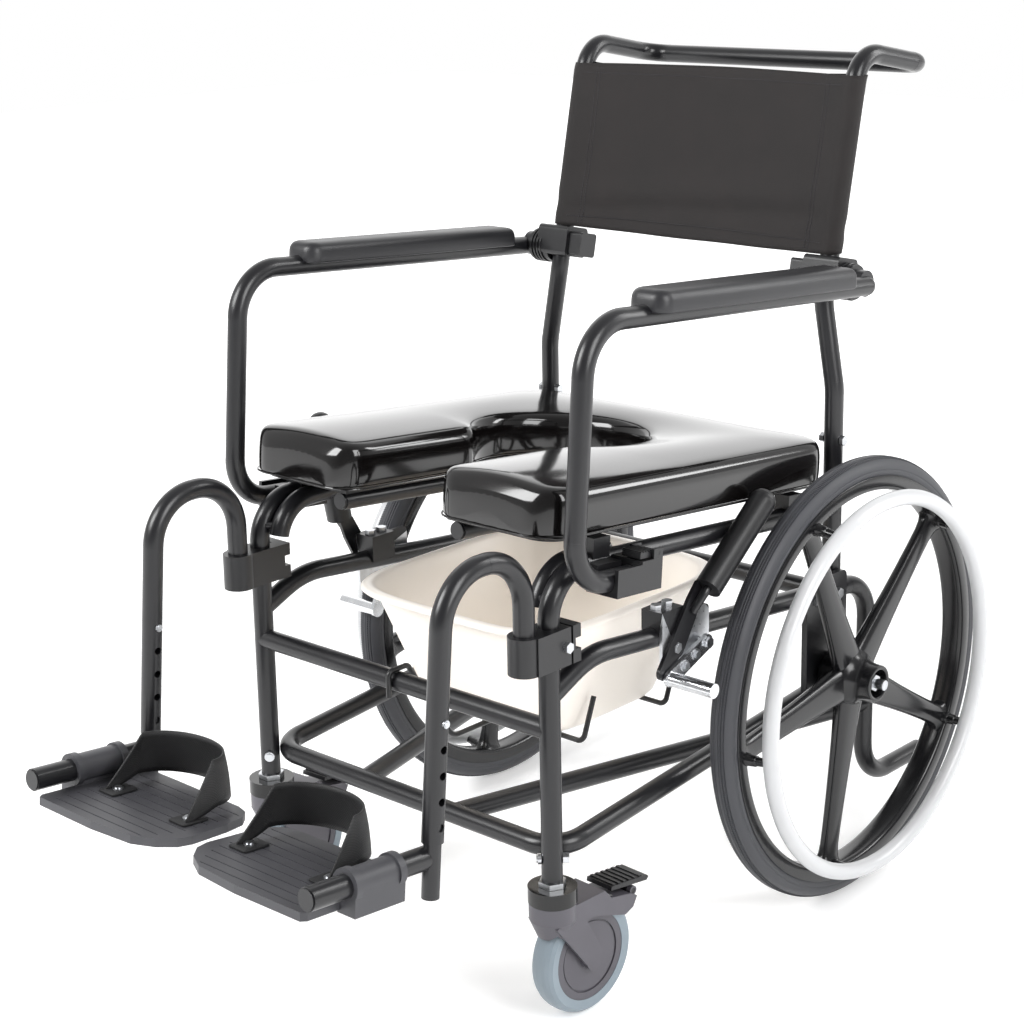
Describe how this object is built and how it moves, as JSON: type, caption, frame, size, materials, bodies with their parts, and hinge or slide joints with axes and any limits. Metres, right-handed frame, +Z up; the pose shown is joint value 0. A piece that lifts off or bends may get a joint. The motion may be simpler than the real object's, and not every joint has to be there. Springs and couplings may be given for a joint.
{
  "type": "shower commode chair",
  "caption": "Self-propelled shower commode chair: padded keyhole seat over a lift-out pan, sling back, flip-up armrests, swing-away footrests, mag rear wheels and braked casters.",
  "frame": {"origin": "middle of the bounding box, on the floor", "axes": "+X to the occupant's left, -Y to the front, +Z up"},
  "size_m": [0.6476, 1.0577, 0.9733],
  "materials": {
    "painted_steel": "satin powder coat",
    "zinc": "zinc plated",
    "sling_cloth": "woven nylon",
    "webbing": "woven webbing",
    "vinyl": "glossy vinyl",
    "board": "black coated",
    "moulded_black": "satin moulded",
    "grip": "soft",
    "pan_plastic": "gloss",
    "wheel_plastic": "satin moulded",
    "tyre": "ribbed",
    "handrim": "white coat",
    "shoe_metal": "bright",
    "caster_plastic": "satin moulded",
    "caster_tread": "soft grey"
  },
  "bodies": {
    "frame": {"left_side_frame": "painted_steel", "right_side_frame": "painted_steel", "crossbars": "painted_steel", "lower_frame": "painted_steel", "back_frame": "painted_steel", "back_sling": "sling_cloth", "axle_plates": "painted_steel", "axles": "zinc", "frame_bolts": "zinc", "caster_stems": "zinc", "left_arm_block": "moulded_black", "right_arm_block": "moulded_black", "left_arm_clip": "moulded_black", "right_arm_clip": "moulded_black", "left_footrest_clamp": "moulded_black", "right_footrest_clamp": "moulded_black", "pan_carrier": "zinc", "left_lock_bracket": "zinc", "right_lock_bracket": "zinc"},
    "seat": {"seat_pad": "vinyl", "seat_board": "board", "seat_rails": "painted_steel", "seat_clips": "moulded_black"},
    "pan": {"commode_pan": "pan_plastic"},
    "left_arm": {"left_arm_tube": "painted_steel", "left_arm_pad": "moulded_black"},
    "left_latch": {"left_arm_latch": "moulded_black"},
    "left_hanger": {"left_hanger": "painted_steel"},
    "left_button": {"left_snap_button": "zinc"},
    "left_extension": {"left_extension": "painted_steel"},
    "left_foot": {"left_footplate": "moulded_black", "left_heel_loop": "webbing"},
    "left_lever": {"left_lock_lever": "zinc", "left_lock_grip": "grip"},
    "left_shoe": {"left_lock_shoe": "shoe_metal"},
    "left_wheel": {"left_wheel": "wheel_plastic", "left_tyre": "tyre", "left_handrim": "handrim"},
    "left_caster": {"left_caster_fork": "caster_plastic"},
    "left_roller": {"left_caster_wheel": "caster_plastic", "left_caster_tread": "caster_tread"},
    "left_pedal": {"left_caster_pedal": "caster_plastic"},
    "right_arm": {"right_arm_tube": "painted_steel", "right_arm_pad": "moulded_black"},
    "right_latch": {"right_arm_latch": "moulded_black"},
    "right_hanger": {"right_hanger": "painted_steel"},
    "right_button": {"right_snap_button": "zinc"},
    "right_extension": {"right_extension": "painted_steel"},
    "right_foot": {"right_footplate": "moulded_black", "right_heel_loop": "webbing"},
    "right_lever": {"right_lock_lever": "zinc", "right_lock_grip": "grip"},
    "right_shoe": {"right_lock_shoe": "shoe_metal"},
    "right_wheel": {"right_wheel": "wheel_plastic", "right_tyre": "tyre", "right_handrim": "handrim"},
    "right_caster": {"right_caster_fork": "caster_plastic"},
    "right_roller": {"right_caster_wheel": "caster_plastic", "right_caster_tread": "caster_tread"},
    "right_pedal": {"right_caster_pedal": "caster_plastic"}
  },
  "joints": [
    {"name": "seat_lift", "type": "slide", "parent": "frame", "child": "seat", "axis": [0, 0, 1], "range_m": [0, 0.15]},
    {"name": "pan_lift", "type": "slide", "parent": "frame", "child": "pan", "axis": [0, 0, 1], "range_m": [0, 0.06]},
    {"name": "left_wheel_spin", "type": "hinge", "parent": "frame", "child": "left_wheel", "pos_m": [0.2715, 0.26875, 0.26], "axis": [1, 0, 0], "continuous": true},
    {"name": "left_caster_swivel", "type": "hinge", "parent": "frame", "child": "left_caster", "pos_m": [0.218, -0.19755, 0.132], "axis": [0, 0, 1], "continuous": true},
    {"name": "left_caster_roll", "type": "hinge", "parent": "left_caster", "child": "left_roller", "pos_m": [0.22059, -0.15633, 0.0635], "axis": [0.998, -0.0628, 0], "continuous": true},
    {"name": "left_caster_brake", "type": "hinge", "parent": "left_caster", "child": "left_pedal", "pos_m": [0.22447, -0.09475, 0.118], "axis": [0.998, -0.0628, 0], "range_deg": [-12, 0]},
    {"name": "left_arm_flip", "type": "hinge", "parent": "frame", "child": "left_arm", "pos_m": [0.254, 0.30998, 0.714], "axis": [1, 0, 0], "range_deg": [-100, 0]},
    {"name": "left_latch_lift", "type": "hinge", "parent": "frame", "child": "left_latch", "pos_m": [0.254, -0.08645, 0.49648], "axis": [1, 0, 0], "range_deg": [-15, 0], "stiffness_Nm_per_rad": 0.2},
    {"name": "left_hanger_swing", "type": "hinge", "parent": "frame", "child": "left_hanger", "pos_m": [0.216, -0.23175, 0.411], "axis": [0, 0, 1], "range_deg": [0, 90]},
    {"name": "left_button_press", "type": "slide", "parent": "left_hanger", "child": "left_button", "axis": [-1, 0, 0], "range_m": [0, 0.003], "stiffness_N_per_m": 300},
    {"name": "left_extension_slide", "type": "slide", "parent": "left_hanger", "child": "left_extension", "axis": [0, -0.0924, -0.9957], "range_m": [0, 0.078]},
    {"name": "left_footplate_flip", "type": "hinge", "parent": "left_extension", "child": "left_foot", "pos_m": [0.211, -0.36934, 0.24707], "axis": [0, 0.9955, -0.095], "range_deg": [0, 90]},
    {"name": "left_lock_lever_throw", "type": "hinge", "parent": "frame", "child": "left_lever", "pos_m": [0.236, -0.01425, 0.367], "axis": [1, 0, 0], "range_deg": [0, 64]},
    {"name": "left_lock_shoe_press", "type": "hinge", "parent": "frame", "child": "left_shoe", "pos_m": [0.242, 0.03075, 0.362], "axis": [1, 0, 0], "range_deg": [0, 44.9]},
    {"name": "right_wheel_spin", "type": "hinge", "parent": "frame", "child": "right_wheel", "pos_m": [-0.2715, 0.26875, 0.26], "axis": [1, 0, 0], "continuous": true},
    {"name": "right_caster_swivel", "type": "hinge", "parent": "frame", "child": "right_caster", "pos_m": [-0.218, -0.19755, 0.132], "axis": [0, 0, 1], "continuous": true},
    {"name": "right_caster_roll", "type": "hinge", "parent": "right_caster", "child": "right_roller", "pos_m": [-0.22059, -0.15633, 0.0635], "axis": [0.998, 0.0628, 0], "continuous": true},
    {"name": "right_caster_brake", "type": "hinge", "parent": "right_caster", "child": "right_pedal", "pos_m": [-0.22447, -0.09475, 0.118], "axis": [0.998, 0.0628, 0], "range_deg": [-12, 0]},
    {"name": "right_arm_flip", "type": "hinge", "parent": "frame", "child": "right_arm", "pos_m": [-0.254, 0.30998, 0.714], "axis": [1, 0, 0], "range_deg": [-100, 0]},
    {"name": "right_latch_lift", "type": "hinge", "parent": "frame", "child": "right_latch", "pos_m": [-0.254, -0.08645, 0.49648], "axis": [1, 0, 0], "range_deg": [-15, 0], "stiffness_Nm_per_rad": 0.2},
    {"name": "right_hanger_swing", "type": "hinge", "parent": "frame", "child": "right_hanger", "pos_m": [-0.216, -0.23175, 0.411], "axis": [0, 0, 1], "range_deg": [-90, 0]},
    {"name": "right_button_press", "type": "slide", "parent": "right_hanger", "child": "right_button", "axis": [-1, 0, 0], "range_m": [0, 0.003], "stiffness_N_per_m": 300},
    {"name": "right_extension_slide", "type": "slide", "parent": "right_hanger", "child": "right_extension", "axis": [0, -0.0924, -0.9957], "range_m": [0, 0.078]},
    {"name": "right_footplate_flip", "type": "hinge", "parent": "right_extension", "child": "right_foot", "pos_m": [-0.211, -0.36934, 0.24707], "axis": [0, 0.9955, -0.095], "range_deg": [-90, 0]},
    {"name": "right_lock_lever_throw", "type": "hinge", "parent": "frame", "child": "right_lever", "pos_m": [-0.236, -0.01425, 0.367], "axis": [1, 0, 0], "range_deg": [-64, 0]},
    {"name": "right_lock_shoe_press", "type": "hinge", "parent": "frame", "child": "right_shoe", "pos_m": [-0.242, 0.03075, 0.362], "axis": [1, 0, 0], "range_deg": [-44.9, 0]}
  ],
  "couplings": [
    {"joint": "left_lock_shoe_press", "follows": "left_lock_lever_throw", "ratio": 0.7},
    {"joint": "right_lock_shoe_press", "follows": "right_lock_lever_throw", "ratio": 0.7}
  ]
}
